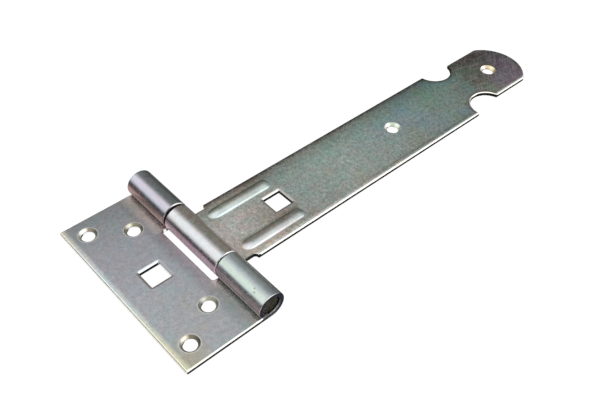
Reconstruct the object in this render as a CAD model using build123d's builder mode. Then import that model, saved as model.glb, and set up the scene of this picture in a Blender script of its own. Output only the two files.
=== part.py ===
from build123d import *
import math
import os

os.makedirs("parts", exist_ok=True)

# Tee hinge lying on its back, open flat.
# Origin: on the back plane, straight under the middle of the pin.
# +X runs along the strap, +Y along the pin, +Z out of the front faces.

# ---- driving dimensions (mm) ----
sheet_t = 2.0            # steel sheet of both leaves
roll_r = 6.0             # outer radius of the rolled knuckles
axis_z = roll_r          # pin axis above the back plane

pin_r = 3.95             # hinge pin
pin_len = 84.8
pin_end_chamfer = 0.35
strap_bore_r = 4.0       # strap knuckle turns freely on the pin
cross_bore_r = pin_r     # cross leaf knuckles are rolled tight on the pin

cross_len = 86.8         # cross leaf along the pin
cross_reach = 39.05       # pin axis to the free edge
cross_corner_r = 0.9
slot_half = 17.15        # half length of the space for the strap knuckle
slot_y = 0.25            # and its middle
slot_x = 7.4             # pin axis to the bottom of the slot
slot_corner_r = 1.3

strap_reach = 200.8      # pin axis to the tip
strap_w = 37.0
strap_y = -0.2           # knuckle, neck, ribs and square hole: end float taken up towards -Y
knuckle_half = 16.5      # half length of the strap knuckle and neck
shoulder_x = 14.3        # where the strap reaches its full width
shoulder_r = 0.45
neck_r = 1.3

punch_y = 1.1            # the punched end sits a little off the strip's own centre line
notch_x = 160.95          # round side notches near the tip
notch_r = 9.0
notch_off = 18.2         # notch centre from the punched centre line
head_w = 32.2            # width beyond the notches
head_x = 182.6           # centre of the round end
head_r = strap_reach - head_x
notch_corner_r = 0.4
head_corner_r = 1.2

screw_r = 2.8            # screw holes, countersunk from the front
sink_r = 3.85
sink_angle = 90.0
cross_outer = (-30.95, 34.65)  # hole pair by the free edge (x, +-y from the slot's middle)
cross_inner = (-15.5, 25.1)    # hole pair by the knuckles
strap_screws_x = (112.0, 182.8)

square_side = 9.1        # square holes for coach bolt necks
square_corner_r = 0.35
cross_square_x = -22.1
strap_square_x = 39.9

rib_y = 11.25            # pressed ribs, either side of the strap's centre line
rib_w = 5.8
rib_h = 1.1
rib_x0 = 12.8            # root end, where the rib has sunk into the flat
rib_x1 = 16.8            # full height from here
rib_x2 = 41.2            # start of the round far end
rib_foot_r = 0.6

edge_r = 0.35            # rounding left on the sheared and barrelled edges
rim_w = 0.75             # wider rounding of the knuckle ends at the gaps
rim_h = 0.5
droop_w = 1.0            # front edges drawn down by the blanking: width in plan
droop_h = 0.8            # and depth
square_draw_w = 1.5      # the same round the square holes
square_draw_h = 0.5
lip_angle = 218.0        # where the roll's lip stops, from the +X side
lip_x = 2.6              # the flat's drawn-down edge ends here, under the lip


def on_roll(r, deg, facing):
    """Point on a circle round the pin axis; facing -1 mirrors it in X."""
    a = math.radians(deg)
    return (facing * r * math.cos(a), axis_z + r * math.sin(a))


def roll_lines(bore_r, flat, facing):
    """Outline of a flat sheet that runs in from x = -flat * facing, goes under
    the pin, and is rolled up, over and down again round it."""
    mid = (lip_angle - 90) / 2
    Line((-facing * flat, 0), (0, 0))
    ThreePointArc((0, 0), on_roll(roll_r, mid, facing), on_roll(roll_r, lip_angle, facing))
    Line(on_roll(roll_r, lip_angle, facing), on_roll(bore_r, lip_angle, facing))
    ThreePointArc(
        on_roll(bore_r, lip_angle, facing),
        on_roll(bore_r, mid, facing),
        on_roll(bore_r, -90, facing),
    )
    if axis_z - bore_r - sheet_t > 1e-6:
        Spline(
            on_roll(bore_r, -90, facing),
            (-facing * 2.6, sheet_t),
            tangents=[(-facing, 0), (-facing, 0)],
        )
        Line((-facing * 2.6, sheet_t), (-facing * flat, sheet_t))
    else:
        Line(on_roll(bore_r, -90, facing), (-facing * flat, sheet_t))
    Line((-facing * flat, sheet_t), (-facing * flat, 0))


def is_lip(vertex, bore_r, facing):
    ends = (on_roll(roll_r, lip_angle, facing), on_roll(bore_r, lip_angle, facing))
    return any(math.hypot(vertex.X - x, vertex.Y - z) < 1e-3 for x, z in ends)


def lies_in(edge, axis, value):
    """True if the whole edge lies in the plane where that coordinate is value."""
    return all(
        abs(getattr(edge.position_at(u), axis) - value) < 1e-3 for u in (0.0, 0.3, 0.7, 1.0)
    )


def near(edge, x, y, reach):
    c = edge.center()
    return math.hypot(c.X - x, c.Y - y) < reach


def droop_lines(wall, facing):
    """Section of the metal missing at a drawn-down front edge. The wall stands
    at x = wall; facing +1 has the metal on its -x side, -1 on its +x side."""
    top_in, low = wall - facing * droop_w, sheet_t - droop_h
    ThreePointArc(
        (top_in, sheet_t),
        (wall - facing * droop_w * 0.27, sheet_t - droop_h * 0.235),
        (wall, low),
    )
    Polyline(
        (wall, low),
        (wall + facing * 0.6, low),
        (wall + facing * 0.6, sheet_t + 0.2),
        (top_in, sheet_t + 0.2),
        (top_in, sheet_t),
    )


def mouth_lines(bore_r, wall, facing):
    """The same drawn-down edge where it has been rolled up and runs round the
    mouth of a bore: section through the pin axis, x along the pin."""
    inner, deep = wall - facing * droop_w, bore_r + droop_h
    ThreePointArc(
        (inner, bore_r),
        (wall - facing * droop_w * 0.27, bore_r + droop_h * 0.235),
        (wall, deep),
    )
    Polyline(
        (wall, deep),
        (wall + facing * 0.6, deep),
        (wall + facing * 0.6, bore_r - 0.4),
        (inner, bore_r - 0.4),
        (inner, bore_r),
    )


def knuckle_rim(wall, facing, leaf):
    """Rounds the outer rim of a knuckle's end, from under the pin round to the
    lip. The metal lies on the -y side of y = wall for facing +1; leaf is +1 for
    the cross leaf's knuckles, -1 for the strap's."""
    with BuildSketch(Plane((0, 0, axis_z), x_dir=(0, 1, 0), z_dir=(-1, 0, 0))) as rim:
        with BuildLine():
            inner = wall - facing * rim_w
            ThreePointArc(
                (wall, roll_r - rim_h),
                (wall - facing * rim_w * 0.27, roll_r - rim_h * 0.25),
                (inner, roll_r),
            )
            Polyline(
                (inner, roll_r),
                (inner, roll_r + 0.3),
                (wall + facing * 0.5, roll_r + 0.3),
                (wall + facing * 0.5, roll_r - rim_h),
                (wall, roll_r - rim_h),
            )
        make_face()
    return revolve(
        rim.sketch, axis=Axis((0, 0, axis_z), (0, -leaf, 0)), revolution_arc=306, mode=Mode.PRIVATE
    )


def square_flare():
    """Height and growth of the sections of the metal missing round the front of
    a square hole."""
    return [
        (sheet_t - square_draw_h * (1 - t), square_draw_w * (1 - math.sqrt(1 - t ** 2)))
        for t in (0.0, 0.4, 0.7, 0.9, 1.0)
    ]


# ---- cross leaf: one sheet with two rolled knuckles ----
with BuildPart() as cross_leaf:
    with BuildSketch(Plane.XZ):
        with BuildLine():
            roll_lines(cross_bore_r, cross_reach, 1)
        make_face()
        fillet(
            vertices().filter_by(lambda v: is_lip(v, cross_bore_r, 1)),
            (roll_r - cross_bore_r) / 2 * 0.86,
        )
    extrude(amount=cross_len / 2, both=True)
    # space for the strap knuckle
    with BuildSketch(Plane.XY.offset(-1)):
        with Locations((5 - slot_x / 2, slot_y)):
            Rectangle(slot_x + 10, 2 * slot_half)
    extrude(amount=2 * roll_r + 2, mode=Mode.SUBTRACT)
    fillet(
        edges().filter_by(Axis.Z).filter_by(lambda e: abs(e.center().X + cross_reach) < 1e-3),
        cross_corner_r,
    )
    fillet(
        edges().filter_by(Axis.Z).filter_by(
            lambda e: abs(e.center().X + slot_x) < 1e-3 and abs(abs(e.center().Y - slot_y) - slot_half) < 1e-3
        ),
        slot_corner_r,
    )
    # outline, knuckle ends and the sides of the slot
    fillet(
        edges().filter_by(
            lambda e: lies_in(e, "Y", cross_len / 2)
            or lies_in(e, "Y", -cross_len / 2)
            or lies_in(e, "Y", slot_y + slot_half)
            or lies_in(e, "Y", slot_y - slot_half)
            or lies_in(e, "X", -cross_reach) and not e.geom_type == GeomType.LINE
            or lies_in(e, "X", -cross_reach) and e.length > 10
            or lies_in(e, "X", -slot_x) and e.length > 10
        ),
        edge_r,
    )
    # front edges of the outline, up to the lips of the knuckles
    for start, out, length in (
        ((-cross_reach - 2, cross_len / 2, 0), (0, 1, 0), cross_reach + 2 - lip_x),
        ((-lip_x, -cross_len / 2, 0), (0, -1, 0), cross_reach + 2 - lip_x),
        ((-cross_reach, -cross_len / 2 - 2, 0), (-1, 0, 0), cross_len + 4),
    ):
        with BuildSketch(Plane(start, x_dir=out, z_dir=(out[1], -out[0], 0))):
            with BuildLine():
                droop_lines(0, 1)
            make_face()
        extrude(amount=length, mode=Mode.SUBTRACT)
    # the same edge rolled up into the mouths of the bores
    for wall, facing in (
        (cross_len / 2, 1),
        (-cross_len / 2, -1),
        (slot_y + slot_half, -1),
        (slot_y - slot_half, 1),
    ):
        with BuildSketch(Plane((0, 0, axis_z), x_dir=(0, 1, 0), z_dir=(1, 0, 0))):
            with BuildLine():
                mouth_lines(cross_bore_r, wall, facing)
            make_face()
        revolve(axis=Axis((0, 0, axis_z), (0, 1, 0)), mode=Mode.SUBTRACT)
    for wall, facing in ((slot_y + slot_half, -1), (slot_y - slot_half, 1)):
        add(knuckle_rim(wall, facing, 1), mode=Mode.SUBTRACT)
    # countersunk screw holes
    front = Plane.XY.offset(sheet_t)
    with Locations(front):
        with Locations(
            (cross_outer[0], slot_y + cross_outer[1]),
            (cross_outer[0], slot_y - cross_outer[1]),
            (cross_inner[0], slot_y + cross_inner[1]),
            (cross_inner[0], slot_y - cross_inner[1]),
        ):
            CounterSinkHole(screw_r, sink_r, counter_sink_angle=sink_angle)
    # square hole
    with BuildSketch(Plane.XY.offset(-1)):
        with Locations((cross_square_x, slot_y)):
            RectangleRounded(square_side, square_side, square_corner_r)
    extrude(amount=sheet_t + 2, mode=Mode.SUBTRACT)
    for height, grow in square_flare():
        with BuildSketch(Plane.XY.offset(height)):
            with Locations((cross_square_x, slot_y)):
                RectangleRounded(square_side + 2 * grow, square_side + 2 * grow, square_corner_r + grow)
    loft(mode=Mode.SUBTRACT)
cross_leaf.part.label = "cross_leaf"
export_step(cross_leaf.part, "parts/cross_leaf.step")

# ---- strap leaf: one sheet with one rolled knuckle, two pressed ribs ----
rib_top_r = ((rib_w / 2) ** 2 + rib_h ** 2) / (2 * rib_h)   # outer radius of the rib's arc
rib_axis_z = sheet_t + rib_h - rib_top_r
rib_drop = rib_h + 0.15
rib_run_r = ((rib_x1 - rib_x0) ** 2 + rib_drop ** 2) / (2 * rib_drop)
rib_run_a = math.asin((rib_x1 - rib_x0) / rib_run_r)


def rib_path(side):
    """Line and run-out arc that the rib's round section follows."""
    y = strap_y + side * rib_y
    a = rib_run_a
    Line((rib_x2, y, rib_axis_z), (rib_x1, y, rib_axis_z))
    ThreePointArc(
        (rib_x1, y, rib_axis_z),
        (rib_x1 - rib_run_r * math.sin(a / 2), y, rib_axis_z - rib_run_r * (1 - math.cos(a / 2))),
        (rib_x1 - rib_run_r * math.sin(a), y, rib_axis_z - rib_run_r * (1 - math.cos(a))),
    )


# the metal raised above the front face by each rib
with BuildPart() as rib_rise:
    for side in (1, -1):
        with BuildLine():
            rib_path(side)
        with BuildSketch(Plane((rib_x2, strap_y + side * rib_y, rib_axis_z), x_dir=(0, 1, 0), z_dir=(-1, 0, 0))):
            Circle(rib_top_r)
        sweep()
        with Locations((rib_x2, strap_y + side * rib_y, rib_axis_z)):
            Sphere(rib_top_r)
    split(bisect_by=Plane.XY.offset(sheet_t - 0.3), keep=Keep.TOP)

# the groove each rib leaves in the back
with BuildPart() as rib_groove:
    for side in (1, -1):
        with BuildLine():
            rib_path(side)
        with BuildSketch(Plane((rib_x2, strap_y + side * rib_y, rib_axis_z), x_dir=(0, 1, 0), z_dir=(-1, 0, 0))):
            Circle(rib_top_r - sheet_t)
        sweep()
        with Locations((rib_x2, strap_y + side * rib_y, rib_axis_z)):
            Sphere(rib_top_r - sheet_t)

with BuildPart() as strap_leaf:
    # knuckle and the start of the neck
    with BuildSketch(Plane.XZ.offset(-strap_y)):
        with BuildLine():
            roll_lines(strap_bore_r, 8.0, -1)
        make_face()
        fillet(
            vertices().filter_by(lambda v: is_lip(v, strap_bore_r, -1)),
            (roll_r - strap_bore_r) / 2 * 0.86,
        )
    extrude(amount=knuckle_half, both=True)
    # neck, strap, side notches and round end
    with BuildSketch(Plane.XY):
        with BuildLine():
            head_half = head_w / 2
            notch_out = notch_x + math.sqrt(notch_r ** 2 - (head_half - notch_off) ** 2)
            head_corner = head_x + math.sqrt(head_r ** 2 - head_half ** 2)
            head_mid = 0.5 * math.asin(head_half / head_r)
            notch_in = {}
            for side in (1, -1):
                neck_y = strap_y + side * knuckle_half
                edge_y = side * strap_w / 2
                notch_y = punch_y + side * notch_off
                head_y = punch_y + side * head_half
                notch_in[side] = notch_x - math.sqrt(notch_r ** 2 - (edge_y - notch_y) ** 2)
                Line((6.0, neck_y), (shoulder_x, neck_y))
                Line((shoulder_x, neck_y), (shoulder_x, edge_y))
                Line((shoulder_x, edge_y), (notch_in[side], edge_y))
                ThreePointArc((notch_in[side], edge_y), (notch_x, notch_y - side * notch_r), (notch_out, head_y))
                Line((notch_out, head_y), (head_corner, head_y))
                ThreePointArc(
                    (head_corner, head_y),
                    (head_x + head_r * math.cos(head_mid), punch_y + side * head_r * math.sin(head_mid)),
                    (strap_reach, punch_y),
                )
            Line((6.0, strap_y + knuckle_half), (6.0, strap_y - knuckle_half))
        make_face()
        corners = vertices()
        fillet(corners.filter_by(lambda v: abs(v.X - shoulder_x) < 0.01 and abs(abs(v.Y - strap_y) - knuckle_half) < 0.01), neck_r)
        fillet(vertices().filter_by(lambda v: abs(v.X - shoulder_x) < 0.01 and abs(abs(v.Y) - strap_w / 2) < 0.01), shoulder_r)
        fillet(vertices().filter_by(lambda v: min(abs(v.X - x) for x in (notch_in[1], notch_in[-1], notch_out)) < 0.01), notch_corner_r)
        fillet(vertices().filter_by(lambda v: abs(v.X - head_corner) < 0.01), head_corner_r)
    extrude(amount=sheet_t)
    # outline and knuckle ends
    y_hi, y_lo = strap_y + knuckle_half, strap_y - knuckle_half
    fillet(
        edges().filter_by(
            lambda e: (
                lies_in(e, "Z", sheet_t) or lies_in(e, "Z", 0)
            ) and not (e.geom_type == GeomType.LINE and abs(e.tangent_at(0.5).Y) > 0.99 and e.length > 20)
            or lies_in(e, "Y", y_hi)
            or lies_in(e, "Y", y_lo)
        ),
        edge_r,
    )
    # front edges of the outline: long sides, head sides, notches, round end
    for start, out, length in (
        ((shoulder_x - 2, strap_w / 2, 0), (0, 1, 0), notch_in[1] + 3 - shoulder_x),
        ((notch_in[-1] + 1, -strap_w / 2, 0), (0, -1, 0), notch_in[-1] + 3 - shoulder_x),
        ((notch_out - 1, punch_y + head_w / 2, 0), (0, 1, 0), head_corner - notch_out + 3),
        ((head_corner + 2, punch_y - head_w / 2, 0), (0, -1, 0), head_corner - notch_out + 3),
    ):
        with BuildSketch(Plane(start, x_dir=out, z_dir=(out[1], -out[0], 0))):
            with BuildLine():
                droop_lines(0, 1)
            make_face()
        extrude(amount=length, mode=Mode.SUBTRACT)
    for side in (1, -1):
        centre = (notch_x, punch_y + side * notch_off, 0)
        with BuildSketch(Plane(centre, x_dir=(1, 0, 0), z_dir=(0, -1, 0))):
            with BuildLine():
                droop_lines(notch_r, -1)
            make_face()
        revolve(axis=Axis(centre, (0, 0, 1)), mode=Mode.SUBTRACT)
    centre = (head_x, punch_y, 0)
    sweep_from = math.radians(-80)
    with BuildSketch(
        Plane(
            centre,
            x_dir=(math.cos(sweep_from), math.sin(sweep_from), 0),
            z_dir=(math.sin(sweep_from), -math.cos(sweep_from), 0),
        )
    ):
        with BuildLine():
            droop_lines(head_r, 1)
        make_face()
    revolve(axis=Axis(centre, (0, 0, 1)), revolution_arc=160, mode=Mode.SUBTRACT)
    add(rib_rise.part)
    # soft foot where each rib leaves the flat
    foot = edges().filter_by(
        lambda e: lies_in(e, "Z", sheet_t)
        and rib_x0 - 2 < e.center().X < rib_x2 + rib_w
        and abs(abs(e.center().Y - strap_y) - rib_y) < rib_w / 2 + 0.1
        and e.length > 1
    )
    fillet(foot, rib_foot_r)
    add(rib_groove.part, mode=Mode.SUBTRACT)
    # countersunk screw holes
    with Locations(Plane.XY.offset(sheet_t)):
        with Locations(*[(x, punch_y) for x in strap_screws_x]):
            CounterSinkHole(screw_r, sink_r, counter_sink_angle=sink_angle)
    # square hole
    with BuildSketch(Plane.XY.offset(-1)):
        with Locations((strap_square_x, strap_y)):
            RectangleRounded(square_side, square_side, square_corner_r)
    extrude(amount=sheet_t + 2, mode=Mode.SUBTRACT)
    for height, grow in square_flare():
        with BuildSketch(Plane.XY.offset(height)):
            with Locations((strap_square_x, strap_y)):
                RectangleRounded(square_side + 2 * grow, square_side + 2 * grow, square_corner_r + grow)
    loft(mode=Mode.SUBTRACT)
    # the drawn-down edge rolled up into the mouths of the bore
    for side in (1, -1):
        with BuildSketch(Plane((0, 0, axis_z), x_dir=(0, 1, 0), z_dir=(1, 0, 0))):
            with BuildLine():
                mouth_lines(strap_bore_r, strap_y + side * knuckle_half, side)
            make_face()
        revolve(axis=Axis((0, 0, axis_z), (0, 1, 0)), mode=Mode.SUBTRACT)
    for side in (1, -1):
        add(knuckle_rim(strap_y + side * knuckle_half, side, -1), mode=Mode.SUBTRACT)
strap_leaf.part.label = "strap_leaf"
export_step(strap_leaf.part, "parts/strap_leaf.step")

# ---- hinge pin: plain round bar, ends set in a little from the knuckle ends ----
with BuildPart() as hinge_pin:
    with BuildSketch(Plane.XZ.offset(-pin_len / 2)):
        with Locations((0, axis_z)):
            Circle(pin_r)
    extrude(amount=pin_len)
    chamfer(edges().filter_by(GeomType.CIRCLE), pin_end_chamfer)
hinge_pin.part.label = "hinge_pin"
export_step(hinge_pin.part, "parts/hinge_pin.step")
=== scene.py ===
import math
import bpy
from mathutils import Matrix, Vector


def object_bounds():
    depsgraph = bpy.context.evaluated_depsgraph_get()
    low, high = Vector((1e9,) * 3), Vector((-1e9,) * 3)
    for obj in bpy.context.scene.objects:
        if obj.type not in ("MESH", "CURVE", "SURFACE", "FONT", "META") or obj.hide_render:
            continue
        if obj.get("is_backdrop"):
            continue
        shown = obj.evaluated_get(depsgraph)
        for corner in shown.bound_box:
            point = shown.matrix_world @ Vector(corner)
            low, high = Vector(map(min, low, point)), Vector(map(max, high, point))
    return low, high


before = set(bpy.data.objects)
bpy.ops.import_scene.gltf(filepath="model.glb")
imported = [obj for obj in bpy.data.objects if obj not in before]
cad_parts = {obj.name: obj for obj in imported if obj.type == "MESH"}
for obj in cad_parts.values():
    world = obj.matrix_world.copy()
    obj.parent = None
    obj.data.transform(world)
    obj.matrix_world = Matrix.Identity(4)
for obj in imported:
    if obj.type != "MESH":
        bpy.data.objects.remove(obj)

cad_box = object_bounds()


def plain(v):
    return [plain(x) for x in v] if hasattr(v, "__len__") else float(v)


# ------------------------------------------------------------------ camera
AZ, EL, ROLL = math.radians(-42.953), math.radians(45.156), math.radians(1.587)
PAN, TILT = 0.2 / 788.0, -0.35 / 788.0
back = Vector((math.sin(AZ) * math.cos(EL), -math.cos(AZ) * math.cos(EL), math.sin(EL)))
right = (-back).cross(Vector((0, 0, 1))).normalized()
up = right.cross(-back)
r2 = math.cos(ROLL) * right + math.sin(ROLL) * up
u2 = -math.sin(ROLL) * right + math.cos(ROLL) * up
back = (back - PAN * r2 - TILT * u2).normalized()
r2 = (r2 - back * r2.dot(back)).normalized()
u2 = back.cross(r2)
cam_data = bpy.data.cameras.new("camera")
cam_data.sensor_width = 36.0
cam_data.lens = 788.0 * 36.0 / 600.0
cam_data.clip_start = 0.01
cam_data.clip_end = 20.0
cam = bpy.data.objects.new("camera", cam_data)
cam.matrix_world = Matrix((
    (r2.x, u2.x, back.x, -0.11341),
    (r2.y, u2.y, back.y, -0.17856),
    (r2.z, u2.z, back.z, 0.23909),
    (0, 0, 0, 1),
))
bpy.context.scene.collection.objects.link(cam)
bpy.context.scene.camera = cam
bpy.context.scene.view_settings.view_transform = "Standard"
bpy.context.scene.view_settings.look = "None"
bpy.context.scene.view_settings.exposure = 0.0
bpy.context.scene.view_settings.gamma = 1.0


# ------------------------------------------------------------------ node helpers
class Tree:
    """Small builder for a node tree."""

    def __init__(self, tree):
        self.t = tree
        self.t.nodes.clear()

    def node(self, kind, **props):
        n = self.t.nodes.new(kind)
        for k, v in props.items():
            setattr(n, k, v)
        return n

    def feed(self, socket, value):
        if isinstance(value, bpy.types.NodeSocket):
            self.t.links.new(value, socket)
        elif value is not None:
            if hasattr(socket.default_value, "__len__") and not hasattr(value, "__len__"):
                value = [value] * len(socket.default_value)
            if hasattr(socket.default_value, "__len__") and len(socket.default_value) == 4 and len(value) == 3:
                value = (*value, 1.0)
            socket.default_value = value

    def math(self, op, a, b=None, c=None, clamp=False):
        n = self.node("ShaderNodeMath", operation=op, use_clamp=clamp)
        for s, v in zip(n.inputs, (a, b, c)):
            if v is not None:
                self.feed(s, v)
        return n.outputs[0]

    def add(self, a, b):
        return self.math("ADD", a, b)

    def mul(self, a, b):
        return self.math("MULTIPLY", a, b)

    def inv(self, a):
        return self.math("SUBTRACT", 1.0, a)

    def most(self, *vs):
        v = vs[0]
        for w in vs[1:]:
            v = self.math("MAXIMUM", v, w)
        return v

    def least(self, *vs):
        v = vs[0]
        for w in vs[1:]:
            v = self.math("MINIMUM", v, w)
        return v

    def vmath(self, op, a, b=None):
        n = self.node("ShaderNodeVectorMath", operation=op)
        self.feed(n.inputs[0], a)
        if b is not None:
            self.feed(n.inputs[1], b)
        return n.outputs["Value"] if op in ("DOT_PRODUCT", "LENGTH", "DISTANCE") else n.outputs[0]

    def xyz(self, v):
        n = self.node("ShaderNodeSeparateXYZ")
        self.feed(n.inputs[0], v)
        return n.outputs[0], n.outputs[1], n.outputs[2]

    def join(self, x, y, z):
        n = self.node("ShaderNodeCombineXYZ")
        for s, v in zip(n.inputs, (x, y, z)):
            self.feed(s, v)
        return n.outputs[0]

    def step(self, v, lo, hi, a=0.0, b=1.0):
        """Smooth ramp from a at lo to b at hi."""
        n = self.node("ShaderNodeMapRange", interpolation_type="SMOOTHSTEP")
        for s, x in zip(n.inputs[:5], (v, lo, hi, a, b)):
            self.feed(s, x)
        return n.outputs[0]

    def blob(self, v, mid, half):
        """1 at mid, 0 further than half away."""
        return self.step(self.math("ABSOLUTE", self.math("SUBTRACT", v, mid)), half, 0.0)

    def noise(self, vec, scale, detail=3.0, rough=0.5, distort=0.0):
        n = self.node("ShaderNodeTexNoise", noise_dimensions="3D")
        self.feed(n.inputs["Vector"], vec)
        self.feed(n.inputs["Scale"], scale)
        self.feed(n.inputs["Detail"], detail)
        self.feed(n.inputs["Roughness"], rough)
        self.feed(n.inputs["Distortion"], distort)
        return n.outputs["Fac"]

    def mix(self, fac, a, b, mode="MIX"):
        n = self.node("ShaderNodeMix", data_type="RGBA", blend_type=mode)
        self.feed(n.inputs[0], fac)
        self.feed(n.inputs[6], a)
        self.feed(n.inputs[7], b)
        return n.outputs[2]

    def ramp(self, v, stops):
        n = self.node("ShaderNodeValToRGB")
        self.feed(n.inputs[0], v)
        cr = n.color_ramp
        while len(cr.elements) > 1:
            cr.elements.remove(cr.elements[-1])
        for i, (p, c) in enumerate(stops):
            e = cr.elements[0] if i == 0 else cr.elements.new(p)
            e.position = p
            if not hasattr(c, "__len__"):
                c = (c, c, c)
            e.color = (*c, 1.0)
        return n.outputs[0]

    def along(self, v, lo, hi, stops):
        """Colour ramp over v from lo to hi, stops given in v's own unit."""
        u = self.node("ShaderNodeMapRange", interpolation_type="LINEAR")
        for s, x in zip(u.inputs[:5], (v, lo, hi, 0.0, 1.0)):
            self.feed(s, x)
        return self.ramp(u.outputs[0], [((p - lo) / (hi - lo), c) for p, c in stops])


def srgb(r, g, b):
    def f(c):
        c /= 255.0
        return c / 12.92 if c <= 0.04045 else ((c + 0.055) / 1.055) ** 2.4
    return (f(r), f(g), f(b))


def grey(v):
    return (v, v, v)


# ------------------------------------------------------------------ studio light
world = bpy.data.worlds.new("studio")
bpy.context.scene.world = world
world.use_nodes = True
w = Tree(world.node_tree)
direction = w.node("ShaderNodeTexCoord").outputs["Generated"]
dx, dy, dz = w.xyz(direction)
slant = w.add(dx, w.mul(dy, 0.8))
box = w.step(slant, 0.88, 0.28)                     # soft box over the left shoulder
front = w.step(dy, 0.25, -0.25)                     # and one above the front
low = w.step(dz, 0.15, 0.52)
# the front box reaches down to the table
low = w.most(low, w.mul(w.step(dz, -0.35, 0.0), w.step(dy, -0.2, -0.5)))
rim = w.step(dx, -0.2, 0.8, 0.09, 0.26)             # dim walls of the room
upper = w.add(w.add(0.40, w.mul(box, 0.70)), w.mul(front, 0.45))
# under the horizon: pale paper behind and to the left, dark room towards the front right
across = w.mul(w.math("SUBTRACT", dy, dx), 0.7071)
table = w.along(across, -0.8, 0.8, [
    (-0.60, grey(0.020)), (-0.25, grey(0.10)), (0.0, grey(0.14)), (0.25, grey(0.20)), (0.45, grey(0.60)), (0.60, grey(1.0)),
])
# the sheet of paper in front of the hinge
table = w.most(table, w.step(w.add(dx, dy), 0.35, 0.0))
under = w.step(dz, -0.10, -0.45)
level = w.add(w.mul(low, upper), w.mul(w.inv(low), w.mul(rim, w.inv(under))))
level = w.add(level, w.mul(under, table))
# a small reflector low on the right
side = w.add(w.add(w.mul(dx, 0.98), w.mul(dy, -0.12)), w.mul(dz, 0.08))
level = w.most(level, w.step(side, 0.88, 0.96, 0.0, 0.85))
bg = w.node("ShaderNodeBackground")
w.feed(bg.inputs["Color"], (1.0, 1.0, 1.0))
w.feed(bg.inputs["Strength"], level)
out = w.node("ShaderNodeOutputWorld")
w.t.links.new(bg.outputs[0], out.inputs[0])

# ------------------------------------------------------------------ floor
bpy.ops.mesh.primitive_plane_add(size=6.0, location=(0.08, 0.0, -0.0001))
floor = bpy.context.object
floor.name = "floor"
floor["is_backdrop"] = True
fm = bpy.data.materials.new("floor_white")
fm.use_nodes = True
f = Tree(fm.node_tree)
b = f.node("ShaderNodeBsdfPrincipled")
f.feed(b.inputs["Base Color"], (0.06, 0.06, 0.06))
f.feed(b.inputs["Roughness"], 0.9)
f.feed(b.inputs["Specular IOR Level"], 0.0)
f.feed(b.inputs["Emission Color"], (1.0, 1.0, 1.0))
f.feed(b.inputs["Emission Strength"], 0.98)
o = f.node("ShaderNodeOutputMaterial")
f.t.links.new(b.outputs[0], o.inputs[0])
floor.data.materials.append(fm)
floor.visible_glossy = False                        # the metal mirrors the room, not the sheet of paper


# ------------------------------------------------------------------ plated steel
def scratches(t, p, seed, angle, length, gap, cut):
    """Sparse fine lines: noise squeezed across one direction, kept only where
    it peaks, and broken up along its length."""
    rot = t.node("ShaderNodeMapping")
    t.feed(rot.inputs["Vector"], p)
    rot.inputs["Rotation"].default_value = (0.0, 0.0, math.radians(angle))
    rot.inputs["Location"].default_value = (seed * 13.7, seed * 5.3, seed * 2.9)
    q = t.vmath("MULTIPLY", rot.outputs[0], (1.0 / length, 1.0 / gap, 0.05))
    a = t.noise(q, 1.0, 0.0, 0.4, 0.0)
    return t.step(a, cut, cut + 0.06)


def holes_near(t, x, y, centres):
    """Distance in plan to the nearest of some hole centres."""
    ds = []
    for cx, cy in centres:
        ds.append(t.math("SQRT", t.add(
            t.math("POWER", t.math("SUBTRACT", x, cx), 2.0),
            t.math("POWER", t.math("SUBTRACT", y, cy), 2.0),
        )))
    return t.least(*ds)


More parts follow.
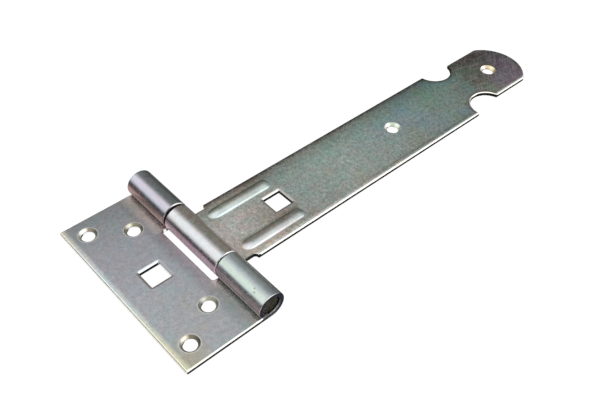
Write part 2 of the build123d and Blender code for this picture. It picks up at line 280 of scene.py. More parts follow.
def plated(name, tone, centres, roll, walls, rims, seed, coarse):
    """Zinc plating with a thin passivation film, over sheet steel, with light and shade painted
    into its colour. tone gives the flat's colour from (t, x, y, patches), roll the knuckles'
    painted highlights, shade and reflections from (t, y, phi), rims the cone's painted light
    and shade and the halo's painted highlight at a countersink. coarse is how strongly the plating is mottled."""
    m = bpy.data.materials.new(name)
    m.use_nodes = True
    t = Tree(m.node_tree)
    coord = t.node("ShaderNodeTexCoord")
    p = t.vmath("MULTIPLY", coord.outputs["Object"], (1000.0, 1000.0, 1000.0))
    x, y, z = t.xyz(p)
    nx, ny, nz = t.xyz(coord.outputs["Normal"])
    shifted = t.vmath("ADD", p, (seed * 31.0, seed * 17.0, 0.0))

    # patches of the film, in three sizes, and the grain of the plating
    clouds = t.noise(shifted, 0.055, 2.5, 0.55, 0.6)
    patches = t.noise(shifted, 0.16, 3.0, 0.6, 0.4)
    mottle = t.noise(shifted, 0.55, 3.0, 0.65)
    grain = t.noise(shifted, 2.2, 2.0, 0.6)

    col = tone(t, x, y, clouds)
    smooth = col
    film = t.ramp(patches, [
        (0.30, (0.90, 1.04, 0.98)),
        (0.42, (0.96, 1.02, 1.05)),
        (0.50, (1.00, 0.99, 1.00)),
        (0.58, (1.06, 0.97, 1.01)),
        (0.70, (1.07, 1.02, 0.90)),
    ])
    speck = t.noise(shifted, 1.15, 2.0, 0.6, 0.3)
    col = t.mix(min(1.0, 0.75 * coarse), col, film, "MULTIPLY")
    k = coarse
    col = t.mix(1.0, col, t.ramp(mottle, [(0.28, 1 - 0.10 * k), (0.5, 1.0), (0.72, 1 + 0.09 * k)]), "MULTIPLY")
    # stops above 1 are kept by scaling the ramps
    for value, stops in (
        (speck, [(0.28, 1 - 0.06 * k), (0.5, 1.0), (0.72, 1 + 0.10 * k)]),
        (grain, [(0.25, 1 - 0.07 * k), (0.5, 1.0), (0.66, 1 + 0.06 * k), (0.80, 1 + 0.24 * k)]),
    ):
        shade = t.ramp(value, [(at, v / 1.5) for at, v in stops])
        col = t.mix(1.0, col, t.mix(1.0, shade, (1.5, 1.5, 1.5), "MULTIPLY"), "MULTIPLY")

    col = t.mix(walls[4](t, x, y), col, smooth)

    # knuckles: colour painted round each roll by the angle phi, with painted highlights, shade and reflections
    phi = t.math("DEGREES", t.math("ARCTAN2", t.math("MULTIPLY", x, -1.0), t.math("SUBTRACT", z, 6.0)))
    rr = t.math("SQRT", t.add(t.mul(x, x), t.math("POWER", t.math("SUBTRACT", z, 6.0), 2.0)))
    low_end = t.mul(t.step(t.math("ABSOLUTE", ny), 0.10, 0.30), t.step(t.math("ABSOLUTE", x), 4.6, 4.0))
    on_roll = t.mul(t.step(rr, 6.35, 6.1), t.most(t.step(z, 2.1, 2.5), low_end))
    rolled = roll(t, y, phi)
    rolled = t.mix(1.0, rolled, t.ramp(mottle, [(0.28, 0.90), (0.5, 1.0), (0.72, 1.07)]), "MULTIPLY")
    drawn = t.noise(t.vmath("MULTIPLY", p, (1.6, 0.10, 1.6)), 1.0, 3.0, 0.6)
    rolled = t.mix(1.0, rolled, t.ramp(drawn, [(0.3, 0.94), (0.5, 1.0), (0.7, 1.05)]), "MULTIPLY")
    rolled = t.mix(0.5, rolled, film, "MULTIPLY")
    # painted highlight on the rims at the knuckles' near ends, painted shade again down the left side
    rim = t.mul(t.step(ny, -0.16, -0.40), t.step(phi, 70.0, 45.0))
    outer = t.along(phi, -180.0, 180.0, [
        (-180.0, grey(0.10)), (-62.0, grey(0.10)), (-46.0, grey(0.50)), (-32.0, (0.95, 0.94, 0.93)),
        (-3.0, (0.95, 0.94, 0.93)), (22.0, (0.16, 0.165, 0.17)), (180.0, grey(0.14)),
    ])
    outer = t.mix(t.step(y, -30.0, -33.0), outer, t.along(phi, -180.0, 180.0, [
        (-180.0, (0.012, 0.013, 0.022)), (-42.0, (0.030, 0.033, 0.045)), (-25.0, (0.30, 0.30, 0.32)),
        (-8.0, (0.62, 0.62, 0.62)), (12.0, (0.70, 0.70, 0.69)), (30.0, (0.34, 0.34, 0.35)),
        (50.0, (0.06, 0.06, 0.07)), (180.0, (0.012, 0.013, 0.022)),
    ]))
    # the bore's mouth: a painted highlight on the crescent that faces the light, painted shade elsewhere and deeper in
    mouth = t.along(phi, -180.0, 180.0, [
        (-180.0, grey(0.70)), (-140.0, grey(0.95)), (-118.0, grey(0.85)), (-98.0, grey(0.48)), (-80.0, grey(0.18)),
        (-55.0, grey(0.05)), (0.0, grey(0.04)), (120.0, grey(0.08)), (180.0, grey(0.50)),
    ])
    mouth = t.mix(t.step(rr, 4.55, 4.35), mouth, t.mix(1.0, mouth, (0.15, 0.15, 0.15), "MULTIPLY"))
    rolled = t.mix(rim, rolled, t.mix(t.step(rr, 5.2, 5.0), outer, mouth))
    col = t.mix(on_roll, col, rolled)
    # the inside of the bore painted near black, as shade in the recess
    bore = t.mul(t.step(rr, 4.3, 4.1), t.step(t.math("ABSOLUTE", ny), 0.40, 0.16))
    bore = t.mul(bore, t.step(z, 1.99, 2.02))
    col = t.mix(bore, col, (0.05, 0.05, 0.048))

    # fine scratches, lighter where the film is broken
    sc = t.most(
        scratches(t, p, seed + 1, 12, 9.0, 0.40, 0.63),
        scratches(t, p, seed + 2, -38, 7.0, 0.35, 0.65),
        scratches(t, p, seed + 3, 71, 6.0, 0.35, 0.66),
        scratches(t, p, seed + 4, 128, 11.0, 0.40, 0.65),
    )
    sc = t.mul(sc, t.step(clouds, 0.34, 0.56))
    col = t.mix(t.mul(sc, 0.03 + 0.12 * coarse), col, (0.80, 0.81, 0.79))

    # countersinks and the ring round them: the cone painted lighter or darker by which way each part faces, a painted
    # dark band at its neck, the hole's wall below the neck painted near white as light seen through the hole, and the
    # ring a painted highlight
    hd = holes_near(t, x, y, centres)
    light, walls, shade, tear_and_shade, calm = walls
    below = t.step(z, 1.99, 1.90)
    sink = t.mul(t.step(hd, 4.1, 3.9), t.most(below, t.step(nz, 0.95, 0.85)))
    cone, shine, right, neck, halo_tone, halo_amount = rims(t, x, y, patches)
    u = t.math("SUBTRACT", t.mul(nx, 0.73), t.mul(ny, 0.68))
    v = t.add(t.mul(nx, 0.68), t.mul(ny, 0.73))
    sink_col = t.mix(t.step(u, 0.08, 0.50), cone, shine)
    sink_col = t.mix(t.step(u, -0.15, -0.50), sink_col, right)
    sink_col = t.mix(t.mul(t.step(v, 0.0, 0.30), 0.7), sink_col, srgb(124, 130, 114))
    sink_col = t.mix(t.blob(z, neck, 0.30), sink_col, t.mix(0.75, sink_col, (0.05, 0.05, 0.05)))
    sink_col = t.mix(t.step(z, neck - 0.03, neck - 0.13), sink_col, (0.95, 0.96, 0.94))
    sink_col = t.mix(1.0, sink_col, t.ramp(mottle, [(0.3, 0.92), (0.5, 1.0), (0.7, 1.04)]), "MULTIPLY")
    col = t.mix(sink, col, sink_col)
    halo = t.mul(t.blob(hd, 4.10, 0.42), t.inv(sink))
    col = t.mix(t.mul(halo, halo_amount), col, halo_tone)

    # edges drawn down by the blanking: a painted highlight on the rounded top edges, painted dark brown shade on the
    # side turned away
    flat_part = t.inv(on_roll)
    free = t.mul(flat_part, t.inv(sink))
    drop = t.mul(t.step(z, 1.98, 1.85), free)
    shaded_side = t.step(t.add(t.mul(nx, 0.68), t.mul(ny, 0.73)), 0.05, 0.35)
    shaded_side = t.most(shaded_side, shade(t, x, y))
    col = t.mix(t.mul(drop, t.step(shaded_side, 0.0, 1.0, 0.85, 1.0)), col, t.mix(shaded_side, (0.92, 0.90, 0.83), (0.085, 0.07, 0.06)))

    # sheared walls: torn, rough and painted near black as shade, but for the smooth free edges of the strip
    wall = t.mul(t.step(t.math("ABSOLUTE", nz), 0.72, 0.45), free)
    wobble = t.noise(t.vmath("MULTIPLY", p, (1.0, 1.0, 0.0)), 0.9, 3.0, 0.6)
    limit = t.math("SUBTRACT", z, t.mul(t.math("SUBTRACT", wobble, 0.5), 0.3))
    torn_top = t.step(tear_and_shade(t, x, y), 0.0, 1.0, 1.48, 1.86)
    torn_and_shaded = t.mul(wall, t.mul(t.step(t.math("SUBTRACT", limit, torn_top), 0.08, -0.08), t.inv(light(t, x, y, nx))))
    # painted shade low along the bottom edges, by the floor
    torn_and_shaded = t.most(torn_and_shaded, t.mul(t.mul(t.step(z, 0.30, 0.12), free), t.step(nz, -0.97, -0.80)))
    streak = t.noise(t.vmath("MULTIPLY", p, (2.6, 2.6, 0.35)), 1.0, 3.0, 0.6)
    torn_shade_col = t.mix(t.step(streak, 0.35, 0.65), srgb(14, 14, 15), srgb(44, 43, 43))
    col = t.mix(torn_and_shaded, col, torn_shade_col)
    col = walls(t, x, y, z, nx, ny, col, streak)

    bsdf = t.node("ShaderNodeBsdfPrincipled")
    t.feed(bsdf.inputs["Base Color"], col)
    t.feed(bsdf.inputs["Metallic"], 1.0)
    rough = t.add(0.34, t.mul(t.math("SUBTRACT", mottle, 0.5), 0.25))
    rough = t.add(rough, t.mul(t.math("SUBTRACT", grain, 0.5), 0.10))
    rough = t.add(rough, t.mul(on_roll, -0.07))
    rough = t.add(rough, t.mul(t.mul(sc, flat_part), -0.05))
    rough = t.add(rough, t.mul(torn_and_shaded, 0.35))
    matt = t.mul(t.mul(t.step(t.math("ABSOLUTE", ny), 0.60, 0.90), t.step(rr, 6.3, 6.1)), t.step(z, 2.1, 2.4))
    rough = t.add(rough, t.mul(matt, 0.40))
    t.feed(bsdf.inputs["Roughness"], t.math("MAXIMUM", rough, 0.12))

    height = t.add(t.mul(mottle, 0.004), t.mul(grain, 0.0020))
    height = t.add(height, t.mul(t.mul(sc, flat_part), -0.0015))
    height = t.add(height, t.mul(t.mul(drawn, on_roll), 0.004))
    height = t.add(height, t.mul(t.mul(streak, torn_and_shaded), 0.04))
    bump = t.node("ShaderNodeBump")
    t.feed(bump.inputs["Strength"], 0.55)
    t.feed(bump.inputs["Distance"], 0.001)
    t.feed(bump.inputs["Height"], height)
    t.t.links.new(bump.outputs[0], bsdf.inputs["Normal"])
    o = t.node("ShaderNodeOutputMaterial")
    t.t.links.new(bsdf.outputs[0], o.inputs[0])
    return m


def cross_tone(t, x, y, clouds):
    col = t.along(y, -43.0, 43.0, [
        (-43.0, (0.53, 0.565, 0.565)),
        (-36.0, (0.53, 0.565, 0.575)),
        (-26.0, (0.54, 0.57, 0.58)),
        (-8.0, (0.56, 0.58, 0.61)),
        (8.0, (0.53, 0.54, 0.575)),
        (22.0, (0.51, 0.515, 0.55)),
        (32.0, (0.45, 0.465, 0.48)),
        (42.0, (0.37, 0.385, 0.39)),
    ])
    # yellowish in the near corner
    corner = t.mul(t.step(y, -26.0, -42.0), t.step(x, -24.0, -36.0))
    col = t.mix(t.mul(corner, 0.75), col, (0.56, 0.52, 0.37))
    # pinkish by the slot and the knuckles; greenish grey and a little darker right beside them, painted shade by the
    # roll
    col = t.mix(t.step(x, -14.5, -11.0), col, t.mix(1.0, col, (0.84, 0.86, 0.88), "MULTIPLY"))
    slot = t.mul(t.step(x, -15.0, -8.0), t.step(y, -60.0, 18.0))
    col = t.mix(t.mul(slot, 0.65), col, (0.41, 0.345, 0.36))
    pink = t.mul(t.blob(x, -8.8, 2.0), t.mul(t.step(y, 17.0, 22.0), t.step(y, 36.0, 30.0)))
    col = t.mix(t.mul(pink, 0.25), col, (0.58, 0.50, 0.52))
    # painted light: the flat right beside the outer knuckles is lifted up to about twice as bright towards the roll,
    # less at the near knuckle
    solid = t.most(t.step(y, 16.2, 17.6), t.step(y, -15.8, -17.2))
    beside = t.along(x, -14.0, -4.0, [
        (-14.0, grey(1.0)), (-12.0, (1.0, 1.01, 0.99)), (-10.6, (1.13, 1.16, 1.10)), (-9.4, (1.45, 1.50, 1.38)),
        (-8.2, (1.85, 1.95, 1.75)), (-7.0, (2.1, 2.15, 1.9)), (-4.0, (2.1, 2.1, 1.9)),
    ])
    col = t.mix(t.mul(solid, t.step(y, -30.0, 20.0, 0.70, 1.0)), col, t.mix(1.0, col, beside, "MULTIPLY"))
    # a little darker again where the roll is mirrored in the flat, most at the near knuckle
    mirrored = t.mix(t.step(y, -20.0, 18.0), t.along(x, -13.0, -6.0, [
        (-12.0, grey(1.0)), (-11.0, grey(0.95)), (-10.3, grey(0.87)), (-9.6, grey(0.78)), (-9.2, grey(0.71)),
        (-8.7, (0.67, 0.64, 0.65)), (-8.2, grey(0.67)), (-7.8, grey(0.74)), (-7.3, grey(0.87)), (-6.9, grey(1.0)),
    ]), t.along(x, -13.0, -6.0, [
        (-10.4, grey(1.0)), (-9.6, grey(0.95)), (-9.1, grey(0.90)), (-8.5, grey(0.81)), (-8.0, grey(0.85)),
        (-7.5, grey(0.91)), (-7.0, grey(1.0)),
    ]))
    col = t.mix(solid, col, t.mix(1.0, col, mirrored, "MULTIPLY"))
    # a lighter band along the free edge: cream at the far end, blueish in the middle, yellow at the near end
    edge = t.mul(t.step(x, -36.1, -38.2), t.step(clouds, 0.20, 0.55, 0.7, 1.0))
    col = t.mix(edge, col, t.along(y, -43.0, 43.0, [
        (-43.0, (1.0, 0.93, 0.64)),
        (-24.0, (0.94, 0.95, 0.72)),
        (-8.0, (0.90, 0.98, 0.90)),
        (10.0, (0.84, 0.95, 0.95)),
        (24.0, (0.90, 0.96, 0.95)),
        (36.0, (1.0, 0.95, 0.82)),
        (43.0, (1.0, 0.93, 0.78)),
    ]))
    return t.mix(0.5, col, t.ramp(clouds, [(0.3, (0.92, 1.04, 1.0)), (0.5, (1.0, 1.0, 1.03)), (0.7, (1.08, 0.99, 0.98))]), "MULTIPLY")


def strap_tone(t, x, y, clouds):
    # the plating's tone along the strap, brown at the root, teal in the middle, brown and purple at the head, darker
    # towards the tip as painted dimming of the reflected light
    wander = t.add(x, t.mul(t.math("SUBTRACT", clouds, 0.5), 40.0))
    col = t.along(wander, 5.0, 200.0, [
        (6.0, (0.62, 0.60, 0.56)),
        (18.0, (0.74, 0.72, 0.67)),
        (34.0, (0.52, 0.48, 0.44)),
        (50.0, (0.47, 0.55, 0.51)),
        (75.0, (0.53, 0.63, 0.57)),
        (100.0, (0.46, 0.56, 0.52)),
        (125.0, (0.38, 0.48, 0.42)),
        (145.0, (0.31, 0.44, 0.43)),
        (165.0, (0.26, 0.34, 0.28)),
        (180.0, (0.20, 0.185, 0.165)),
        (190.0, (0.205, 0.17, 0.19)),
        (200.0, (0.20, 0.165, 0.20)),
    ])
    # browner and darker towards the far edge, near black on the far rounded edge as painted shade
    side = t.along(y, -18.5, 18.5, [
        (-15.5, (0.97, 0.88, 0.84)),
        (-10.0, (1.0, 0.98, 0.96)),
        (3.0, grey(1.0)),
        (8.0, (0.86, 0.95, 0.92)),
        (12.0, (0.72, 0.79, 0.75)),
        (15.2, (0.64, 0.61, 0.57)),
        (16.6, (0.40, 0.36, 0.32)),
        (17.3, (0.18, 0.155, 0.135)),
        (18.0, (0.13, 0.11, 0.095)),
    ])
    # large patches in the outer half, blue to green, and purple in the head's right half
    tint = t.noise(t.join(x, y, 7.0), 0.060, 2.0, 0.5, 0.5)
    tinted = t.ramp(tint, [
        (0.34, (0.90, 0.98, 1.20)), (0.46, (0.97, 1.00, 1.08)), (0.54, (1.0, 0.99, 0.96)), (0.68, (0.96, 1.00, 0.86)),
    ])
    outer_half = t.mul(t.step(x, 95.0, 125.0), t.step(x, 172.0, 160.0))
    col = t.mix(outer_half, col, t.mix(1.0, col, tinted, "MULTIPLY"))
    right_half = t.mul(t.step(t.math("SUBTRACT", x, y), 176.0, 188.0), t.step(x, 172.0, 180.0))
    col = t.mix(t.mul(right_half, 0.75), col, (0.215, 0.165, 0.235))
    # the head is lightest along its near side
    across = t.along(y, -18.0, 18.0, [
        (-14.0, tuple(v / 1.5 for v in (1.30, 1.40, 1.24))), (-6.0, tuple(v / 1.5 for v in (1.12, 1.20, 1.10))),
        (0.0, tuple(v / 1.5 for v in (0.78, 0.80, 0.72))), (6.0, tuple(v / 1.5 for v in (0.76, 0.75, 0.66))),
        (14.0, tuple(v / 1.5 for v in (0.74, 0.68, 0.62))),
    ])
    across = t.mix(1.0, across, (1.5, 1.5, 1.5), "MULTIPLY")
    col = t.mix(t.step(x, 158.0, 176.0), col, t.mix(1.0, col, across, "MULTIPLY"))
    dull = t.mul(t.blob(x, 29.0, 15.0), t.blob(y, -3.5, 9.0))
    col = t.mix(t.mul(dull, 0.9), col, t.mix(1.0, col, (0.76, 0.82, 0.80), "MULTIPLY"))
    # browner between the square hole and the near rib, lighter across from it
    brown = t.mul(t.blob(x, 39.0, 10.0), t.blob(y, -7.0, 4.0))
    col = t.mix(t.mul(brown, 0.6), col, (0.40, 0.32, 0.27))
    light = t.mul(t.blob(x, 40.0, 8.0), t.blob(y, 8.0, 4.0))
    col = t.mix(t.mul(light, 0.7), col, (0.68, 0.65, 0.60))
    # browner and darker round the notches
    notch = holes_near(t, x, y, [(160.95, 19.3), (160.95, -17.1)])
    col = t.mix(t.mul(t.step(notch, 12.5, 9.6), 0.65), col, (0.185, 0.155, 0.115))
    # painted shade: a near black ring along the far notch's edge
    notch_shade_ring = t.mul(t.step(notch, 10.3, 9.7), t.mul(t.step(y, 0.0, 4.0), t.step(x, 167.0, 164.0)))
    col = t.mix(t.mul(notch_shade_ring, 0.9), col, (0.055, 0.048, 0.036))
    col = t.mix(1.0, col, side, "MULTIPLY")
    # dark olive line round the far side of the head, painted shade on its far rounded edge
    out = holes_near(t, x, y, [(182.6, 1.1)])
    round_end = t.mul(t.step(out, 15.6, 17.2), t.mul(t.step(y, -12.0, -6.0), t.step(x, 180.0, 184.0)))
    round_end = t.most(round_end, t.mul(t.mul(t.step(y, 14.6, 16.6), t.step(x, 169.0, 171.0)), t.step(x, 184.0, 182.0)))
    col = t.mix(t.mul(round_end, 0.85), col, (0.085, 0.088, 0.066))
    # painted highlight: light flecks along the outermost edge of the head's far side
    highlight_flecks = t.mul(t.step(t.noise(t.join(x, y, 3.0), 0.7, 2.0, 0.6), 0.50, 0.62), t.mul(t.blob(out, 17.5, 0.7), t.step(x, 182.0, 186.0)))
    col = t.mix(t.mul(highlight_flecks, 0.6), col, (0.52, 0.56, 0.60))
    # brown inside the near edge, and along the edge itself a painted highlight, narrower outwards
    start = t.step(x, 20.0, 140.0, -16.25, -17.0)
    inside_y = t.math("SUBTRACT", y, start)
    brown = t.mul(t.mul(t.blob(inside_y, 0.7, 0.9), t.step(x, 60.0, 100.0)), t.step(x, 150.0, 145.0))
    col = t.mix(t.mul(brown, 0.55), col, (0.20, 0.17, 0.14))
    cream = t.mul(t.step(x, 60.0, 20.0), t.mul(t.step(inside_y, 1.0, -0.1), t.step(x, 7.0, 9.0)))
    col = t.mix(t.mul(cream, 0.6), col, (0.78, 0.72, 0.50))
    # painted highlight along the near edge, the head's near side and the near notch's rim
    near = t.mul(t.step(inside_y, 0.0, -1.2), t.mul(t.step(x, 13.0, 15.0), t.step(x, 158.0, 150.0)))
    near = t.most(near, t.mul(t.step(y, -13.2, -14.5), t.step(x, 168.0, 172.0)))
    near = t.most(near, t.mul(t.step(notch, 9.75, 9.4), t.step(y, 0.0, -4.0)))
    col = t.mix(t.mul(near, 0.92), col, (1.0, 0.99, 0.95))
    # near black along the near neck's edge, painted shade
    neck = t.mul(t.step(y, -16.15, -16.40), t.mul(t.step(x, 13.6, 13.0), t.step(x, 6.0, 7.0)))
    col = t.mix(t.mul(neck, 0.9), col, (0.02, 0.018, 0.016))
    # painted shade: a dark line where the roll meets the flat
    col = t.mix(t.mul(t.blob(x, 5.4, 1.3), 0.75), col, (0.20, 0.16, 0.13))

    # ribs, painted light and shade across each: a painted highlight along the near foot, cool on the crest, brown
    # and dark behind; the far one catches more light on its crest
    far_rib = [
        (-3.4, (1.05, 1.08, 1.12)), (-2.9, (1.03, 1.10, 1.17)), (-2.45, (1.15, 1.23, 1.33)), (-2.05, (0.68, 0.74, 0.83)),
        (-1.5, (0.91, 0.95, 1.02)), (-1.2, (1.06, 1.09, 1.17)), (-0.9, (1.25, 1.26, 1.33)), (-0.6, (1.38, 1.37, 1.43)),
        (-0.3, (1.30, 1.29, 1.31)), (0.0, (1.15, 1.13, 1.14)), (0.3, (0.99, 0.97, 0.96)), (0.9, (0.87, 0.88, 0.82)),
        (1.8, (0.84, 0.83, 0.73)), (2.7, (0.81, 0.82, 0.71)), (3.3, (0.90, 0.96, 0.88)), (4.4, grey(1.0)),
    ]
    near_rib = [
        (-3.4, (1.0, 1.08, 1.14)), (-3.0, (0.92, 1.01, 1.11)), (-2.7, (0.98, 1.09, 1.19)), (-2.4, (1.04, 1.16, 1.27)),
        (-2.1, (0.65, 0.76, 0.86)), (-1.5, (0.72, 0.82, 0.91)), (-0.9, (0.74, 0.84, 0.90)), (-0.6, (0.73, 0.81, 0.84)),
        (0.0, (0.62, 0.65, 0.67)), (0.3, (0.59, 0.60, 0.60)), (0.9, (0.64, 0.64, 0.60)), (1.5, (0.68, 0.67, 0.61)),
        (2.1, (0.64, 0.61, 0.53)), (2.7, (0.58, 0.545, 0.49)), (3.3, (0.68, 0.68, 0.64)), (3.8, (0.76, 0.76, 0.72)),
        (4.4, grey(1.0)),
    ]
    for centre, shades in ((11.05, far_rib), (-11.45, near_rib)):
        u = t.math("SUBTRACT", y, centre)
        on_rib = t.mul(t.step(x, 12.4, 14.5), t.step(x, 44.6, 43.2))
        # stops above 1 are kept by scaling the ramp
        shade = t.along(u, -3.4, 4.4, [(at, tuple(v / 1.5 for v in c)) for at, c in shades])
        shade = t.mix(1.0, shade, (1.5, 1.5, 1.5), "MULTIPLY")
        inside = t.mul(on_rib, t.mul(t.step(u, -4.2, -3.2), t.step(u, 4.5, 4.2)))
        col = t.mix(inside, col, t.mix(1.0, col, shade, "MULTIPLY"))
        # a painted cool highlight at each rib's root
        root = t.mul(t.blob(x, 13.8, 2.6), t.blob(u, -0.8, 2.4))
        col = t.mix(t.mul(root, 0.5), col, (0.74, 0.79, 0.85))
    return col


def cross_roll(t, y, phi):
    # painted light round the knuckles by the angle phi, for the far and the near end: a painted highlight band, dark
    # bands and painted reflections of the leaf lower down
    far = t.along(phi, -90.0, 150.0, [
        (-60.0, (0.400, 0.420, 0.420)),
        (-46.0, (0.444, 0.471, 0.471)),
        (-38.0, (0.175, 0.193, 0.194)),
        (-30.0, (0.189, 0.208, 0.204)),
        (-22.0, (0.272, 0.301, 0.291)),
        (-10.0, (0.276, 0.301, 0.298)),
        (1.0, (0.278, 0.300, 0.308)),
        (6.0, (0.297, 0.314, 0.330)),
        (10.0, (0.389, 0.395, 0.427)),
        (15.0, (0.514, 0.513, 0.571)),
        (22.0, (0.627, 0.603, 0.692)),
        (29.0, (0.594, 0.571, 0.672)),
        (42.0, (0.619, 0.635, 0.719)),
        (47.0, (0.631, 0.640, 0.719)),
        (52.0, (0.451, 0.440, 0.488)),
        (58.0, (0.540, 0.459, 0.484)),
        (64.0, (0.428, 0.307, 0.303)),
        (72.0, (0.381, 0.228, 0.215)),
        (80.0, (0.400, 0.239, 0.222)),
        (92.0, (0.232, 0.160, 0.150)),
        (130.0, (0.157, 0.130, 0.135)),
    ])
    near = t.along(phi, -90.0, 150.0, [
        (-60.0, (0.420, 0.460, 0.440)),
        (-42.0, (0.534, 0.552, 0.533)),
        (-35.0, (0.451, 0.446, 0.428)),
        (-28.0, (0.387, 0.413, 0.382)),
        (-18.0, (0.468, 0.515, 0.501)),
        (-10.0, (0.480, 0.529, 0.525)),
        (0.0, (0.548, 0.611, 0.621)),
        (8.0, (0.500, 0.567, 0.575)),
        (15.0, (0.506, 0.580, 0.574)),
        (24.0, (0.600, 0.704, 0.638)),
        (34.0, (0.621, 0.738, 0.641)),
        (44.0, (0.654, 0.745, 0.723)),
        (50.0, (0.505, 0.544, 0.559)),
        (56.0, (0.788, 0.746, 0.766)),
        (62.0, (0.654, 0.557, 0.553)),
        (69.0, (0.439, 0.341, 0.340)),
        (78.0, (0.393, 0.291, 0.297)),
        (92.0, (0.151, 0.119, 0.119)),
        (130.0, (0.133, 0.119, 0.119)),
    ])
    col = t.mix(t.step(y, -10.0, 10.0), near, far)
    # purple-grey down the right side of the near end, two olive marks
    end = t.mul(t.step(y, -36.0, -42.0), t.step(phi, -5.0, -25.0))
    col = t.mix(t.mul(end, 0.6), col, (0.38, 0.34, 0.40))
    for at, turn in ((-37.2, 33.0), (-36.2, 22.0)):
        mark = t.mul(t.blob(y, at, 0.7), t.blob(phi, turn, 6.0))
        col = t.mix(t.mul(mark, 0.8), col, (0.16, 0.18, 0.10))
    return col


def strap_roll(t, y, phi):
    # painted light round the strap's knuckle by the angle phi: a white painted highlight near 50 degrees, dark bands
    # beside it and a painted pink reflection of the leaf below
    return t.along(phi, -110.0, 130.0, [
        (-90.0, (0.500, 0.480, 0.440)),
        (-46.0, (0.808, 0.765, 0.688)),
        (-38.0, (0.731, 0.656, 0.578)),
        (-30.0, (0.511, 0.449, 0.374)),
        (-20.0, (0.540, 0.475, 0.392)),
        (-13.0, (0.415, 0.372, 0.302)),
        (-5.0, (0.410, 0.387, 0.344)),
        (2.0, (0.416, 0.403, 0.387)),
        (8.0, (0.508, 0.498, 0.488)),
        (14.0, (0.636, 0.640, 0.648)),
        (20.0, (0.732, 0.757, 0.773)),
        (30.0, (0.756, 0.784, 0.805)),
        (40.0, (0.755, 0.770, 0.789)),
        (46.0, (1.000, 1.000, 1.000)),
        (50.0, (1.000, 1.000, 1.000)),
        (54.0, (0.986, 0.944, 1.000)),
        (58.0, (0.408, 0.350, 0.386)),
        (64.0, (0.477, 0.343, 0.383)),
        (72.0, (0.723, 0.477, 0.530)),
        (85.0, (0.825, 0.565, 0.637)),
        (100.0, (0.737, 0.594, 0.637)),
        (120.0, (0.491, 0.416, 0.444)),
    ])


def square_sides(t, x, y, z, nx, ny, col, centre_x, left, right):
    """The flare round a square hole: its left side, its right side and the two
    near ones, in order of how much light they catch."""
    around = t.mul(
        t.step(t.math("ABSOLUTE", t.math("SUBTRACT", x, centre_x)), 6.7, 6.3),
        t.step(t.math("ABSOLUTE", y), 6.9, 6.5),
    )
    flare = t.mul(t.mul(around, t.step(z, 1.45, 1.52)), t.step(z, 1.995, 1.95))
    col = t.mix(t.mul(flare, t.step(ny, -0.06, -0.25)), col, left)
    col = t.mix(t.mul(flare, t.step(nx, -0.06, -0.25)), col, right)
    shaded_side = t.most(t.step(nx, 0.06, 0.25), t.step(ny, 0.06, 0.25))
    return t.mix(t.mul(flare, shaded_side), col, (0.42, 0.38, 0.34))


def cross_light(t, x, y, nx):
    # smooth walls, left out of the painted shade on the torn walls: the free edge and the side of the square hole
    # parallel to it, the slot's far end
    end = t.mul(t.mul(t.step(y, 16.9, 17.2), t.step(y, 18.0, 17.8)), t.mul(t.step(x, -8.4, -8.0), t.step(x, -4.6, -5.2)))
    return t.most(t.step(nx, -0.5, -0.8), end)


def none(t, x, y):
    return 0.0


def cross_walls(t, x, y, z, nx, ny, col, streak):
    col = square_sides(t, x, y, z, nx, ny, col, -22.1, (0.86, 0.94, 0.96), (0.40, 0.41, 0.42))
    # painted reflection: the lower part of the free edge's wall near white
    side = t.mul(t.step(nx, -0.7, -0.9), t.step(z, 1.55, 1.45))
    col = t.mix(t.mul(side, t.step(x, -30.0, -26.0)), col, (0.95, 0.96, 0.96))
    # painted light: the slot's far end wall near white
    slot_end = t.mul(cross_light(t, x, y, 0.0), t.mul(t.step(z, 2.1, 1.95), t.step(ny, -0.2, -0.5)))
    col = t.mix(slot_end, col, (0.95, 0.95, 0.94))
    # end faces of the knuckles, painted dark and blueish as shade, darker at the near end
    end = t.mul(t.step(t.math("ABSOLUTE", ny), 0.80, 0.95), t.most(t.step(z, 2.0, 2.3), t.step(x, -5.5, -4.5)))
    last = t.step(y, -30.0, -35.0)
    low_tone = t.mix(last, srgb(58, 58, 62), srgb(20, 20, 28))
    high_tone = t.mix(last, srgb(102, 100, 98), srgb(60, 60, 76))
    return t.mix(end, col, t.mix(t.step(streak, 0.3, 0.7), low_tone, high_tone))


def strap_light(t, x, y, nx):
    # the far shoulder's short wall
    return t.mul(t.mul(t.step(nx, -0.4, -0.7), t.step(y, 14.0, 15.0)), t.step(x, 17.0, 16.0))


def strap_shade(t, x, y):
    # painted shade: the necks beside the roll and the right side of the far notch are darkened up to the face
    neck = t.mul(t.step(x, 15.6, 15.2), t.step(x, 5.0, 6.5))
    notch = t.mul(t.mul(t.step(x, 161.0, 162.5), t.step(x, 176.0, 172.0)), t.step(y, 8.0, 10.0))
    return t.most(neck, notch)


def strap_tear_and_shade(t, x, y):
    # painted shade: the near notch's walls are darkened higher up as well
    notch = t.mul(t.mul(t.step(x, 152.0, 153.5), t.step(x, 171.0, 169.5)), t.step(y, -8.0, -8.4, 0.0, 0.85))
    return t.most(strap_shade(t, x, y), t.mul(notch, t.step(y, -17.2, -16.6)))


def strap_calm(t, x, y):
    # the pressed ribs are burnished along their near sides
    ribs = t.most(t.mul(t.step(y, 7.4, 8.0), t.step(y, 11.8, 10.8)), t.mul(t.step(y, -15.1, -14.5), t.step(y, -10.7, -11.7)))
    return t.mul(t.mul(ribs, t.mul(t.step(x, 10.5, 13.0), t.step(x, 45.0, 43.0))), 0.8)


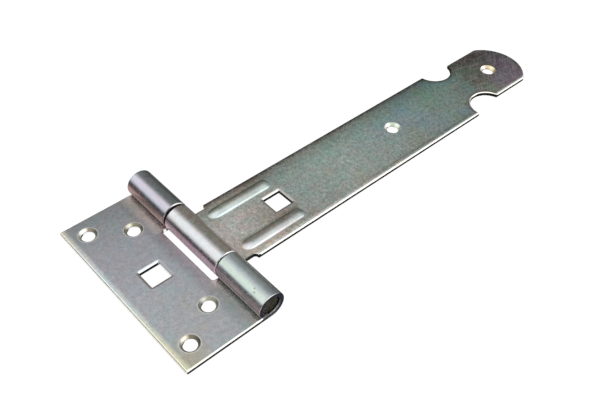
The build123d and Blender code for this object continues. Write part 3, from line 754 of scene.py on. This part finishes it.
def strap_walls(t, x, y, z, nx, ny, col, streak):
    col = square_sides(t, x, y, z, nx, ny, col, 39.9, (0.92, 0.91, 0.87), (0.50, 0.50, 0.46))
    # painted shade: the end faces of the strap's knuckle dark
    end = t.mul(t.mul(t.step(t.math("ABSOLUTE", ny), 0.80, 0.95), t.step(z, 2.3, 2.6)), t.step(x, 7.0, 6.5))
    return t.mix(end, col, t.mix(t.step(streak, 0.3, 0.7), srgb(26, 26, 28), srgb(58, 56, 56)))


def cross_rims(t, x, y, patches):
    # countersink colours, painted light and shade: the cone, its painted highlight and its right side, set apart for
    # outer and inner, far and near holes, then the neck's height and the ring's painted highlight and amount
    inner = t.step(x, -26.0, -21.0)
    far = t.step(y, -10.0, 10.0)

    def four(outer_far, outer_near, inner_far, inner_near):
        return t.mix(inner, t.mix(far, outer_near, outer_far), t.mix(far, inner_near, inner_far))

    cone = four(srgb(138, 118, 108), srgb(110, 100, 86), srgb(126, 118, 100), srgb(140, 138, 124))
    cone = t.mix(t.step(patches, 0.42, 0.62), t.mix(0.5, cone, srgb(112, 122, 98)), cone)
    shine = four((0.96, 0.95, 0.90), (0.78, 0.70, 0.60), (0.66, 0.67, 0.54), (0.56, 0.57, 0.50))
    right = four(srgb(124, 130, 116), srgb(112, 110, 100), srgb(136, 136, 120), srgb(156, 158, 144))
    return cone, shine, right, 0.93, (1.0, 1.0, 0.88), 0.50


def strap_rims(t, x, y, patches):
    # countersink colours, painted light and shade: the cone, its painted highlight and its right side, then the neck's
    # height and the ring's painted highlight and amount
    head = t.step(x, 130.0, 160.0)
    cone = t.mix(head, srgb(172, 182, 168), srgb(194, 178, 150))
    right = t.mix(head, srgb(236, 244, 230), srgb(250, 236, 194))
    return cone, (0.95, 0.95, 0.92), right, 0.36, (0.8, 0.8, 0.7), 0.08


def pin_metal():
    """Bare end of the pin: rough and dark."""
    m = bpy.data.materials.new("pin_end_steel")
    m.use_nodes = True
    t = Tree(m.node_tree)
    p = t.vmath("MULTIPLY", t.node("ShaderNodeTexCoord").outputs["Object"], (1000.0, 1000.0, 1000.0))
    pits = t.noise(p, 1.4, 4.0, 0.7, 0.3)
    fine = t.noise(p, 5.0, 2.0, 0.6)
    bsdf = t.node("ShaderNodeBsdfPrincipled")
    t.feed(bsdf.inputs["Base Color"], t.ramp(pits, [
        (0.35, srgb(22, 20, 17)),
        (0.55, srgb(58, 54, 40)),
        (0.70, srgb(128, 122, 100)),
    ]))
    t.feed(bsdf.inputs["Metallic"], 1.0)
    t.feed(bsdf.inputs["Roughness"], t.step(fine, 0.2, 0.8, 0.35, 0.6))
    bump = t.node("ShaderNodeBump")
    t.feed(bump.inputs["Strength"], 0.8)
    t.feed(bump.inputs["Distance"], 0.001)
    t.feed(bump.inputs["Height"], t.add(t.mul(pits, 0.22), t.mul(fine, 0.03)))
    t.t.links.new(bump.outputs[0], bsdf.inputs["Normal"])
    o = t.node("ShaderNodeOutputMaterial")
    t.t.links.new(bsdf.outputs[0], o.inputs[0])
    return m


def wear(node, material):
    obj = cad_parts[node]
    obj.data.materials.clear()
    obj.data.materials.append(material)


wear("cross_leaf", plated(
    "cross_plating", cross_tone,
    [(-30.95, 34.9), (-30.95, -34.4), (-15.5, 25.35), (-15.5, -24.85)],
    cross_roll, (cross_light, cross_walls, none, none, none), cross_rims, 1.0, 0.85,
))
wear("strap_leaf", plated(
    "strap_plating", strap_tone,
    [(112.0, 1.1), (182.8, 1.1)],
    strap_roll, (strap_light, strap_walls, strap_shade, strap_tear_and_shade, strap_calm), strap_rims, 2.0, 2.2,
))
wear("hinge_pin", pin_metal())

{"cad": plain(cad_box), "visual": plain(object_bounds())}
